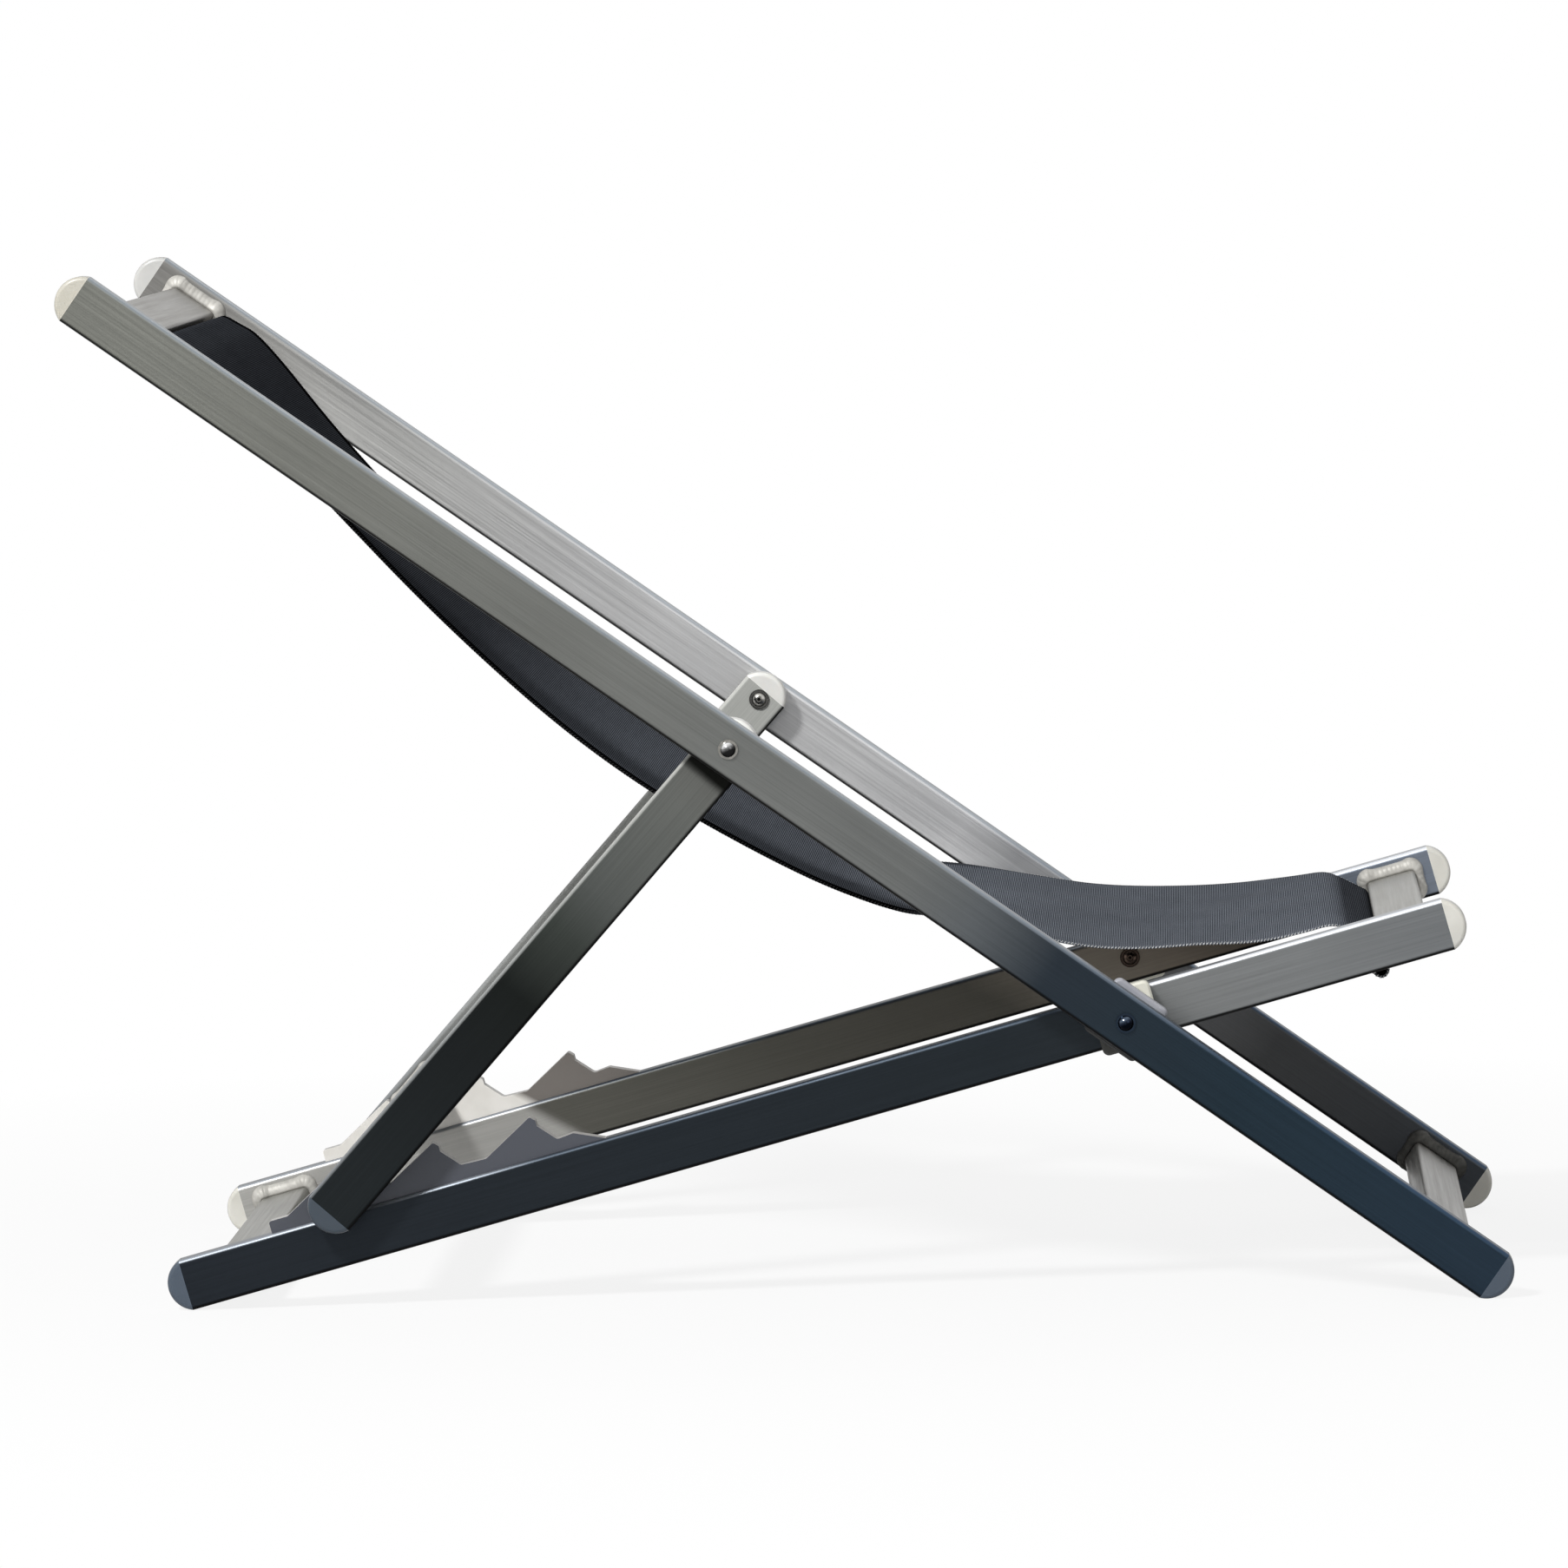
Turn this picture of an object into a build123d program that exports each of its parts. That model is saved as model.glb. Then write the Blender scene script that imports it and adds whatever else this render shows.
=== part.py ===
"""Folding deck chair with a sling seat: flat aluminium tube, moulded caps and racks, millimetres.

The sitter looks towards +X, +Z is up and the floor is z = 0. Right is -Y and left is +Y.
Places along a rail are measured from the main pivot, towards +X, and heights from the rail's axis.
"""
from build123d import *
from math import asin, atan2, cos, degrees, radians, sin, tan
import os

# Overall layout
chair_width = 560.0
long_head_reach = 968.0
long_foot_reach = 340.0
base_rear_reach = 752.0
base_front_reach = 255.0
open_angle = 50.76
prop_pivot_reach = 366.4
layer_gap = 2.2

# Flat tube, the same section in every rail, leg and crossbar
tube_width = 40.0
tube_thickness = 20.0
tube_wall = 2.0
tube_corner = 3.5
weld_leg = 6.0
prop_weld_leg = 4.0
weld_slope = 45.0
weld_clearance = 0.05

# Moulded end caps
cap_dome = 14.0
cap_plug = 18.0
cap_plug_clearance = 0.15
cap_edge = 3.4
cap_wall = 2.0

# Crossbars: the distance from the tube end to the crossbar, and the height of its axis
head_bar_inset = 19.0
foot_bar_inset = 20.0
rear_bar_inset = 16.0
front_bar_inset = 14.5
bar_drop = 4.0

# Prop
prop_top_reach = 8.0
prop_tail = 27.7
prop_bar_reach = 444.8
prop_seat_height = 20.1

# Racks: offsets of one tooth's corners from the seat's middle, forwards and up
rack_width = 13.0
seat_gap = 0.4
tooth_pitch = 76.8
tooth_fall = 1.45
tooth_count = 3
peak_back = 10.5
peak_rise = 14.5
lip_back = 6.8
lip_rise = 10.7
seat_back = 6.9
seat_rise = 6.4
floor_start = 5.5
floor_drop = 7.8
floor_length = 20.0
floor_fall = 0.8
tooth_round = 2.0
lip_round = 1.2
foot_round = 4.0
stub_length = 15.0
stub_gap = 47.0
stub_drop = 10.6
nose_bump = 13.0
nose_length = 36.0
nose_rise = 1.2
peg_radius = 3.0
peg_length = 5.0
peg_clearance = 0.1

# Hinge plates
plate_side = 48.0
plate_round = 5.0
plate_gap = 0.3
plate_edge = 1.5

# Pivot hardware
shank_radius = 4.0
shank_clearance = 0.06
head_dome_radius = 6.0
head_dome_height = 4.2
head_flange_radius = 7.6
head_flange = 1.4
head_gap = 0.1
spacer_gap = 0.1
washer_radius = 8.0
washer_thickness = 1.5
washer_clearance = 0.3
screw_head_radius = 5.8
screw_head_height = 3.4
screw_radius = 2.5
screw_length = 14.0
screw_clearance = 0.1
socket_radius = 2.3
socket_depth = 2.0

# Sling and its rods
rod_radius = 4.0
rod_seat = 6.0
rod_clearance = 0.1
head_rod_drop = 15.0
front_rod_drop = 15.0
sling_side_gap = 3.6
sling_thickness = 1.6
sling_clearance = 0.3
head_sling_gap = 6.3
pocket_clearance = 0.3
head_lift = 12.5
head_rise = 16.0
head_turn = 14.0
head_run = 38.0
front_fall = 3.0
front_turn = 14.0
back_sag = 68.5
knee_rise = 112.0
bend_share = 0.45

# The sling's line, down the back as shares of the head rod's reach and of the back's sag,
# and over the seat as shares of the front rod's reach and of the knee's rise
back_shares = ((0.845, -0.25), (0.676, -0.72), (0.484, -1.0), (0.312, -0.84), (0.21, -0.53))
seat_shares = ((-0.586, 1.0), (-0.257, 0.71), (0.0, 0.505), (0.412, 0.317), (0.773, 0.21), (0.95, 0.12))

# The cap's round end, and the points that touch the floor
cap_radius = ((tube_width / 2) ** 2 + cap_dome ** 2) / (2 * cap_dome)
foot_centre = long_foot_reach + cap_dome - cap_radius
rear_centre = base_rear_reach + cap_dome - cap_radius
head_centre = long_head_reach + cap_dome - cap_radius

# Both lowest caps stand on the floor, which sets how the opened frame leans
reach_ratio = rear_centre / foot_centre
base_angle = degrees(atan2(sin(radians(open_angle)), reach_ratio + cos(radians(open_angle))))
long_angle = open_angle - base_angle
pivot_z = foot_centre * sin(radians(long_angle)) + cap_radius
pivot_x = (head_centre - foot_centre) * cos(radians(long_angle)) / 2
half_width = chair_width / 2

# Depths from the chair's outer faces to each layer
long_depth = 0.0
prop_depth = tube_thickness + layer_gap
base_depth = 2 * (tube_thickness + layer_gap)
base_inner = base_depth + tube_thickness
prop_inner = prop_depth + tube_thickness

# Crossbar axes along their rails
head_bar = -(long_head_reach - head_bar_inset - tube_width / 2)
foot_bar = long_foot_reach - foot_bar_inset - tube_width / 2
rear_bar = -(base_rear_reach - rear_bar_inset - tube_width / 2)
front_bar = base_front_reach - front_bar_inset - tube_width / 2


def from_pivot(angle, reach, height):
    """Place along a rail, and height from its axis, as level and upright lengths from the main pivot."""
    turn = radians(angle)
    return reach * cos(turn) - height * sin(turn), reach * sin(turn) + height * cos(turn)


def along(angle, reach, height):
    """Point in the side plane for a place along a rail and a height from its axis."""
    level, upright = from_pivot(angle, reach, height)
    return pivot_x + level, pivot_z + upright


def side_plane(angle, depth, side, x=pivot_x, z=pivot_z):
    """Plane facing -Y at a depth from one outer face, with its x along the rail and y up from it."""
    turn = radians(angle)
    origin = (x, side * (half_width - depth), z)
    return Plane(origin=origin, x_dir=(cos(turn), 0, sin(turn)), z_dir=(0, -1, 0))


def tube_plane(angle, depth, side, reach):
    """Plane square to a tube at one of its ends, on the tube's axis, facing along it."""
    x, z = along(angle, reach, 0)
    turn = radians(angle)
    y = side * (half_width - depth - tube_thickness / 2)
    return Plane(origin=(x, y, z), x_dir=(0, 1, 0), z_dir=(cos(turn), 0, sin(turn)))


base_turn = base_angle
long_turn = -long_angle
prop_x, prop_z = along(long_turn, -prop_pivot_reach, 0)

# The prop's lean comes from its seat: where its crossbar's lower edge meets the first tooth
seat_height = tube_width / 2 + prop_seat_height
seat_reach = prop_bar_reach + seat_gap
pivot_height = prop_pivot_reach * sin(radians(open_angle))
prop_lean = degrees(asin((pivot_height - seat_height) / seat_reach))
prop_turn = base_angle + prop_lean
seat_along = -prop_pivot_reach * cos(radians(open_angle)) - seat_reach * cos(radians(prop_lean))
prop_length = prop_bar_reach + prop_tail + prop_top_reach


def leg_plane(depth, side):
    """Plane facing -Y on a prop leg: x runs up the leg and the prop pivot is its origin."""
    return side_plane(prop_turn, depth, side, prop_x, prop_z)


def leg_end_plane(side, reach):
    """Plane square to a prop leg, on its axis, facing up the leg."""
    turn = radians(prop_turn)
    y = side * (half_width - prop_depth - tube_thickness / 2)
    origin = (prop_x + reach * cos(turn), y, prop_z + reach * sin(turn))
    return Plane(origin=origin, x_dir=(0, 1, 0), z_dir=(cos(turn), 0, sin(turn)))


def tube_section(plane):
    """Hollow section of the flat tube, its wide side upright on a plane square to the tube."""
    with BuildSketch(plane) as section:
        RectangleRounded(tube_thickness, tube_width, tube_corner)
        bore_thickness = tube_thickness - 2 * tube_wall
        bore_width = tube_width - 2 * tube_wall
        RectangleRounded(bore_thickness, bore_width, tube_corner - tube_wall, mode=Mode.SUBTRACT)
    return section.sketch


def bar_outline(plane, place, grow=0):
    """Outline of a crossbar's tube lying flat at a place on a side plane, grown all round."""
    with BuildSketch(plane) as outline:
        with Locations(place):
            RectangleRounded(tube_width + 2 * grow, tube_thickness + 2 * grow, tube_corner + grow)
    return outline.sketch


def ring(plane, place, radius, bore=0):
    """Disc at a place on a plane, with a bore if one is given."""
    with BuildSketch(plane) as outline:
        with Locations(place):
            Circle(radius)
            if bore > 0:
                Circle(bore, mode=Mode.SUBTRACT)
    return outline.sketch


def rail_top_plane(side, place):
    """Plane on top of a base rail, over its middle, facing up from it."""
    turn = radians(base_turn)
    x, z = along(base_turn, place, rail_top)
    y = side * (half_width - base_depth - tube_thickness / 2)
    return Plane(origin=(x, y, z), x_dir=(0, 1, 0), z_dir=(-sin(turn), 0, cos(turn)))


# Sling rods lie beside the crossbars' inner edges, with the hem's pocket between them
sling_edge = base_inner + sling_side_gap
sling_width = chair_width - 2 * sling_edge
pocket_inner = rod_radius + pocket_clearance
pocket_middle = pocket_inner + sling_thickness / 2
pocket_outer = pocket_inner + sling_thickness
head_rod = head_bar + tube_width / 2 + head_sling_gap + pocket_outer
front_rod = front_bar - tube_width / 2 - sling_clearance - pocket_outer

# Holes, racks and hinge plates
hole_radius = shank_radius + shank_clearance
rod_hole = rod_radius + rod_clearance
rod_bore_depth = rod_seat + rod_clearance
rail_top = tube_width / 2
rack_depth = base_depth + (tube_thickness - rack_width) / 2
peg_places = [seat_along + floor_start + tooth * tooth_pitch for tooth in (0, tooth_count - 1)]
plate_thickness = (tube_thickness + 2 * layer_gap - plate_gap) / 2


def rack_outline():
    """Corners and corner radii of a rack, from its rear stub over the teeth to its low nose."""
    peak_along = seat_along - peak_back
    stub_end = peak_along - stub_gap
    stub_top = seat_height - stub_drop
    points = [
        (stub_end - stub_length, rail_top),
        (stub_end - stub_length, stub_top),
        (stub_end, stub_top),
    ]
    rounds = [0, tooth_round, tooth_round]
    for tooth in range(tooth_count):
        middle = seat_along + tooth * tooth_pitch
        level = seat_height - tooth * tooth_fall
        points += [
            (middle - peak_back, level + peak_rise),
            (middle - lip_back, level + lip_rise),
            (middle - seat_back, level + seat_rise),
            (middle + floor_start, level - floor_drop),
        ]
        rounds += [tooth_round, lip_round, 0, foot_round]
        if tooth < tooth_count - 1:
            points.append((middle + floor_start + floor_length, level - floor_drop - floor_fall))
            rounds.append(foot_round)
    nose_start, nose_level = points[-1]
    points += [
        (nose_start + nose_bump, nose_level + nose_rise),
        (nose_start + nose_length, rail_top),
    ]
    rounds += [foot_round, 0]
    return points, rounds


def sling_line():
    """Middle of the cloth in the side plane, from the head rod to the front rod."""
    rise = [(head_rod - pocket_middle, -head_rod_drop), (head_rod - pocket_middle, head_lift)]
    rise.append((head_rod - pocket_middle + head_run, head_rise))
    back = rise + [(share * head_rod, sag * back_sag) for share, sag in back_shares]
    seat = [(share * front_rod, lift * knee_rise) for share, lift in seat_shares]
    seat.append((front_rod + pocket_middle, -front_fall))
    seat.append((front_rod + pocket_middle, -front_rod_drop))
    back = [from_pivot(long_turn, *point) for point in back]
    return back + [from_pivot(base_turn, *point) for point in seat]


def bend_radii(points):
    """Radius of each bend, as large as its two runs allow, and the named ones at both ends."""
    radii = []
    for before, corner, after in zip(points, points[1:], points[2:]):
        arriving = Vector(*corner) - Vector(*before)
        leaving = Vector(*after) - Vector(*corner)
        shorter = min(arriving.length, leaving.length)
        radii.append(bend_share * shorter / tan(radians(arriving.get_angle(leaving) / 2)))
    return [head_turn] + radii[1:-1] + [front_turn]


def weld_bead(plane, place, leg):
    """Weld bead round a crossbar's end, against a rail's inner face."""
    extrude(bar_outline(plane, place, leg), amount=leg, taper=weld_slope)


def bar_tube(plane, place, span):
    """Hollow crossbar from a rail's inner face to the chair's middle."""
    extrude(bar_outline(plane, place), amount=span / 2)
    extrude(bar_outline(plane, place, -tube_wall), amount=span / 2, mode=Mode.SUBTRACT)


def crossbar(plane, place, span):
    """Half of a hollow crossbar with a weld bead at its end."""
    weld_bead(plane, place, weld_leg)
    bar_tube(plane, place, span)


def end_cap(side_face, mouth, side, reach, way):
    """Moulded cap with a round end and a hollow plug, at a tube's end; way is its outward direction."""
    with BuildSketch(side_face) as dome:
        with BuildLine():
            Line((reach, -tube_width / 2), (reach, tube_width / 2))
            ThreePointArc((reach, -tube_width / 2), (reach + way * cap_dome, 0), (reach, tube_width / 2))
        make_face()
    extrude(dome.sketch, amount=side * tube_thickness)
    fillet(edges().filter_by(GeomType.CIRCLE), cap_edge)
    plug_thickness = tube_thickness - 2 * tube_wall - 2 * cap_plug_clearance
    plug_width = tube_width - 2 * tube_wall - 2 * cap_plug_clearance
    with BuildSketch(mouth) as plug:
        RectangleRounded(plug_thickness, plug_width, tube_corner - tube_wall)
        Rectangle(plug_thickness - 2 * cap_wall, plug_width - 2 * cap_wall, mode=Mode.SUBTRACT)
    extrude(plug.sketch, amount=-way * cap_plug)


def hinge_plate(plane, side):
    """Moulded square plate about the main pivot, from a side plane inwards."""
    with BuildSketch(plane) as outline:
        RectangleRounded(plate_side, plate_side, plate_round)
    extrude(outline.sketch, amount=side * plate_thickness)
    chamfer(faces().filter_by(Plane.XZ).edges(), plate_edge)
    extrude(ring(plane, (0, 0), hole_radius), amount=side * plate_thickness, mode=Mode.SUBTRACT)


def pivot_bolt(x, z, side, grip):
    """Dome-head bolt from an outer face inwards, bored at its inner end for its screw."""
    outer = side * half_width
    flange_top = head_gap + head_flange
    dome_top = flange_top + head_dome_height
    bore = screw_radius + screw_clearance
    bore_end = screw_length + screw_clearance - grip
    with BuildSketch(Plane(origin=(x, outer, z), x_dir=(1, 0, 0), z_dir=(0, 0, side))) as profile:
        with BuildLine():
            Polyline((0, bore_end), (bore, bore_end), (bore, -grip), (shank_radius, -grip))
            Line((shank_radius, -grip), (shank_radius, head_gap))
            Polyline((shank_radius, head_gap), (head_flange_radius, head_gap), (head_flange_radius, flange_top))
            Line((head_flange_radius, flange_top), (head_dome_radius, flange_top))
            TangentArc((0, dome_top), (head_dome_radius, flange_top), tangent=(1, 0))
            Line((0, dome_top), (0, bore_end))
        make_face()
    revolve(profile.sketch, axis=Axis((x, outer, z), (0, 1, 0)))


def washer(x, z, side, depth, radius, bore, thickness):
    """Flat ring about a pivot, from a depth inwards."""
    seat = Plane(origin=(x, side * (half_width - depth), z), x_dir=(1, 0, 0), z_dir=(0, -side, 0))
    extrude(ring(seat, (0, 0), radius, bore), amount=thickness)


def cap_screw(x, z, side, depth):
    """Button-head screw seated at a depth, its shank running outwards into the bolt."""
    seat = side * (half_width - depth)
    with BuildSketch(Plane(origin=(x, seat, z), x_dir=(1, 0, 0), z_dir=(0, 0, -side))) as profile:
        with BuildLine():
            Polyline((0, -screw_length), (screw_radius, -screw_length), (screw_radius, 0))
            Line((screw_radius, 0), (screw_head_radius, 0))
            TangentArc((0, screw_head_height), (screw_head_radius, 0), tangent=(1, 0))
            Line((0, screw_head_height), (0, -screw_length))
        make_face()
    revolve(profile.sketch, axis=Axis((x, seat, z), (0, 1, 0)))
    crown = Plane(origin=(x, seat - side * screw_head_height, z), x_dir=(1, 0, 0), z_dir=(0, side, 0))
    with BuildSketch(crown) as socket:
        RegularPolygon(socket_radius, 6)
    extrude(socket.sketch, amount=socket_depth, mode=Mode.SUBTRACT)


def write(piece, name):
    """Name a finished piece and save it."""
    piece.part.label = name
    export_step(piece.part, f"parts/{name}.step")


os.makedirs("parts", exist_ok=True)
for side, word in ((-1, "right"), (1, "left")):
    # Base frame
    base_face = side_plane(base_turn, base_depth, side)
    base_inner_face = side_plane(base_turn, base_inner, side)
    with BuildPart() as base_rail:
        rear_end = tube_plane(base_turn, base_depth, side, -base_rear_reach)
        extrude(tube_section(rear_end), amount=base_rear_reach + base_front_reach)
        extrude(ring(base_face, (0, 0), hole_radius), amount=side * tube_thickness, mode=Mode.SUBTRACT)
        rod_bore = ring(base_inner_face, (front_rod, -front_rod_drop), rod_hole)
        extrude(rod_bore, amount=-side * rod_bore_depth, mode=Mode.SUBTRACT)
        for place in peg_places:
            peg_hole = ring(rail_top_plane(side, place), (0, 0), peg_radius + peg_clearance)
            extrude(peg_hole, amount=-peg_length, mode=Mode.SUBTRACT)
    write(base_rail, f"base_rail_{word}")

    for end, reach, way in (("rear", -base_rear_reach, -1), ("front", base_front_reach, 1)):
        with BuildPart() as base_cap:
            end_cap(base_face, tube_plane(base_turn, base_depth, side, reach), side, reach, way)
        write(base_cap, f"base_{end}_cap_{word}")

    with BuildPart() as rack:
        corners, rounds = rack_outline()
        with BuildSketch(side_plane(base_turn, rack_depth, side)):
            with BuildLine():
                FilletPolyline(*corners, radius=rounds, close=True)
            make_face()
        extrude(amount=side * rack_width)
        for place in peg_places:
            extrude(ring(rail_top_plane(side, place), (0, 0), peg_radius), amount=-peg_length)
    write(rack, f"rack_{word}")

    # Long frame
    long_face = side_plane(long_turn, long_depth, side)
    long_inner_face = side_plane(long_turn, long_depth + tube_thickness, side)
    with BuildPart() as long_rail:
        head_end = tube_plane(long_turn, long_depth, side, -long_head_reach)
        extrude(tube_section(head_end), amount=long_head_reach + long_foot_reach)
        for place in (0, -prop_pivot_reach):
            pivot_hole = ring(long_face, (place, 0), hole_radius)
            extrude(pivot_hole, amount=side * tube_thickness, mode=Mode.SUBTRACT)
        rod_bore = ring(long_inner_face, (head_rod, -head_rod_drop), rod_hole)
        extrude(rod_bore, amount=-side * rod_bore_depth, mode=Mode.SUBTRACT)
    write(long_rail, f"long_rail_{word}")

    for end, reach, way in (("head", -long_head_reach, -1), ("foot", long_foot_reach, 1)):
        with BuildPart() as long_cap:
            end_cap(long_face, tube_plane(long_turn, long_depth, side, reach), side, reach, way)
        write(long_cap, f"long_{end}_cap_{word}")

    # Hinge plates between the rails, each square to its own rail
    with BuildPart() as long_plate:
        hinge_plate(long_inner_face, side)
    write(long_plate, f"long_hinge_plate_{word}")

    with BuildPart() as base_plate:
        hinge_plate(side_plane(base_turn, base_depth - plate_thickness, side), side)
    write(base_plate, f"base_hinge_plate_{word}")

    # Prop legs
    leg_face = leg_plane(prop_depth, side)
    with BuildPart() as prop_leg:
        extrude(tube_section(leg_end_plane(side, prop_top_reach)), amount=-prop_length)
        extrude(ring(leg_face, (0, 0), hole_radius), amount=side * tube_thickness, mode=Mode.SUBTRACT)
    write(prop_leg, f"prop_leg_{word}")

    for end, reach, way in (("top", prop_top_reach, 1), ("tail", prop_top_reach - prop_length, -1)):
        with BuildPart() as prop_cap:
            end_cap(leg_face, leg_end_plane(side, reach), side, reach, way)
            extrude(ring(leg_face, (0, 0), hole_radius), amount=side * tube_thickness, mode=Mode.SUBTRACT)
        write(prop_cap, f"prop_{end}_cap_{word}")

    # Pivot hardware
    for pivot, x, z, inner in (("main", pivot_x, pivot_z, base_inner), ("prop", prop_x, prop_z, prop_inner)):
        with BuildPart() as bolt:
            pivot_bolt(x, z, side, inner)
        write(bolt, f"{pivot}_pivot_bolt_{word}")
        with BuildPart() as inner_washer:
            washer(x, z, side, inner, washer_radius, screw_radius + washer_clearance, washer_thickness)
        write(inner_washer, f"{pivot}_pivot_washer_{word}")
        with BuildPart() as screw:
            cap_screw(x, z, side, inner + washer_thickness)
        write(screw, f"{pivot}_pivot_screw_{word}")

    with BuildPart() as spacer:
        washer(prop_x, prop_z, side, tube_thickness, washer_radius, hole_radius, layer_gap - spacer_gap)
    write(spacer, f"prop_pivot_spacer_{word}")

# Crossbars, each drawn from the left rail's inner face to the chair's middle and mirrored
base_cross = side_plane(base_turn, base_inner, 1)
long_cross = side_plane(long_turn, tube_thickness, 1)
prop_cross = leg_plane(prop_inner, 1)
base_span = chair_width - 2 * base_inner
long_span = chair_width - 2 * tube_thickness
prop_span = chair_width - 2 * prop_inner

with BuildPart() as head_crossbar:
    crossbar(long_cross, (head_bar, -bar_drop), long_span)
    mirror(about=Plane.XZ)
write(head_crossbar, "head_crossbar")

with BuildPart() as foot_crossbar:
    crossbar(long_cross, (foot_bar, -bar_drop), long_span)
    mirror(about=Plane.XZ)
write(foot_crossbar, "foot_crossbar")

with BuildPart() as rear_crossbar:
    crossbar(base_cross, (rear_bar, -bar_drop), base_span)
    mirror(about=Plane.XZ)
write(rear_crossbar, "rear_crossbar")

with BuildPart() as front_crossbar:
    crossbar(base_cross, (front_bar, -bar_drop), base_span)
    extrude(ring(base_cross, (front_rod, -front_rod_drop), rod_hole), amount=weld_leg, mode=Mode.SUBTRACT)
    with BuildSketch(base_cross.offset(sling_edge - sling_clearance - base_inner)):
        with Locations((front_bar - tube_width / 2 - weld_leg / 2, -bar_drop)):
            Rectangle(weld_leg, tube_thickness + 2 * weld_leg)
    extrude(amount=weld_leg, mode=Mode.SUBTRACT)
    mirror(about=Plane.XZ)
write(front_crossbar, "front_crossbar")

# The prop's crossbar lies in the racks as a plain tube, with its weld beads as rings of their own
prop_bar = (tube_width / 2 - prop_bar_reach, 0)
with BuildPart() as prop_crossbar:
    bar_tube(prop_cross, prop_bar, prop_span)
    mirror(about=Plane.XZ)
write(prop_crossbar, "prop_crossbar")

with BuildPart() as prop_weld_left:
    weld_bead(prop_cross, prop_bar, prop_weld_leg)
    extrude(bar_outline(prop_cross, prop_bar, weld_clearance), amount=prop_weld_leg, mode=Mode.SUBTRACT)
write(prop_weld_left, "prop_weld_left")

with BuildPart() as prop_weld_right:
    mirror(prop_weld_left.part, about=Plane.XZ)
write(prop_weld_right, "prop_weld_right")

# Sling rods, seated in the rails' inner walls
with BuildPart() as head_sling_rod:
    with BuildSketch(long_cross.offset(-rod_seat)):
        with Locations((head_rod, -head_rod_drop)):
            Circle(rod_radius)
    extrude(amount=long_span + 2 * rod_seat)
write(head_sling_rod, "head_sling_rod")

with BuildPart() as front_sling_rod:
    with BuildSketch(base_cross.offset(-rod_seat)):
        with Locations((front_rod, -front_rod_drop)):
            Circle(rod_radius)
    extrude(amount=base_span + 2 * rod_seat)
write(front_sling_rod, "front_sling_rod")

# Sling: one cloth with a pocket round each rod
with BuildPart() as sling:
    cloth = sling_line()
    with BuildSketch(side_plane(0, sling_edge, 1)):
        with BuildLine():
            FilletPolyline(*cloth, radius=bend_radii(cloth))
            offset(amount=sling_thickness / 2)
        make_face()
        for turn, rod, drop in ((long_turn, head_rod, head_rod_drop), (base_turn, front_rod, front_rod_drop)):
            with Locations(from_pivot(turn, rod, -drop)):
                Circle(pocket_outer)
                Circle(pocket_inner, mode=Mode.SUBTRACT)
    extrude(amount=sling_width)
write(sling, "sling")
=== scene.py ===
"""Looks of the folding deck chair: brushed tube, moulded caps and racks, welds and the mesh sling.

Everything is in metres, in the frame's own axes: the sitter faces +X, right is -Y, the floor is z = 0.
Places along a rail are measured from the main pivot, towards +X, and heights from the rail's axis.
"""
import math
import random

import bmesh
import bpy
from mathutils import Matrix, Vector


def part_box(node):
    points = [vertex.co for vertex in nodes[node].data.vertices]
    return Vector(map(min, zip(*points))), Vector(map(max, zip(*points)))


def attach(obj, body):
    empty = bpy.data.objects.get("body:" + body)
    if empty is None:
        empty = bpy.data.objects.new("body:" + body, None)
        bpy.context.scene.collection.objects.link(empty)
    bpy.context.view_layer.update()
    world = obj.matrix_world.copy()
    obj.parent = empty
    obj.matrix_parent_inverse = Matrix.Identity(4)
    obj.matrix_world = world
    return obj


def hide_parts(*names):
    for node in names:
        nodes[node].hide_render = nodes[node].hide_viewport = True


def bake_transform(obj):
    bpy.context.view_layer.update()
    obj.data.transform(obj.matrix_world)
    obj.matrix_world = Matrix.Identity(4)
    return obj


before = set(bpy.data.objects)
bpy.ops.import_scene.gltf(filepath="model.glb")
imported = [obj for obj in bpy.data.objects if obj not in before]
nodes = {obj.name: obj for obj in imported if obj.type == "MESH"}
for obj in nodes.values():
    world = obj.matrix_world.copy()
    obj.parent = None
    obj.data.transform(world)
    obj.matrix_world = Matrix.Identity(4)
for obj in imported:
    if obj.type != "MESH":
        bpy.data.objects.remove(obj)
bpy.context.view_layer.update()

MM = 0.001
random.seed(7)

# Sizes that the frame's solids have too
rail_width = 40 * MM
rail_corner = 3.5 * MM
tube = 20 * MM
layer_gap = 2.2 * MM
half_width = 280 * MM
open_angle = math.radians(50.76)
foot_centre = 332.714 * MM
rear_centre = 744.714 * MM
sling_width = 424 * MM
sling_thickness = 1.6 * MM
rod_radius = 4 * MM
rod_drop = 15 * MM
hem_clearance = 0.3 * MM
head_bar = -929 * MM
foot_bar = 300 * MM
rear_bar = -716 * MM
front_bar = 220.5 * MM
prop_bar = -424.8 * MM
bar_drop = 4 * MM
bar_to_hem = 6.3 * MM


def middle(name):
    """Centre of a node's box, brought to the chair's middle plane."""
    both = Vector(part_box(name)[0]) + Vector(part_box(name)[1])
    return Vector((both.x / 2, 0, both.z / 2))


# The frames' lean, from the points that touch the floor and from the prop's own ends
base_angle = math.atan2(math.sin(open_angle), rear_centre / foot_centre + math.cos(open_angle))
long_angle = base_angle - open_angle
pivot = middle("main_pivot_washer_right")
prop_pivot = middle("prop_pivot_washer_right")
prop_foot = middle("prop_crossbar")
prop_angle = math.atan2(prop_pivot.z - prop_foot.z, prop_pivot.x - prop_foot.x)


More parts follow.
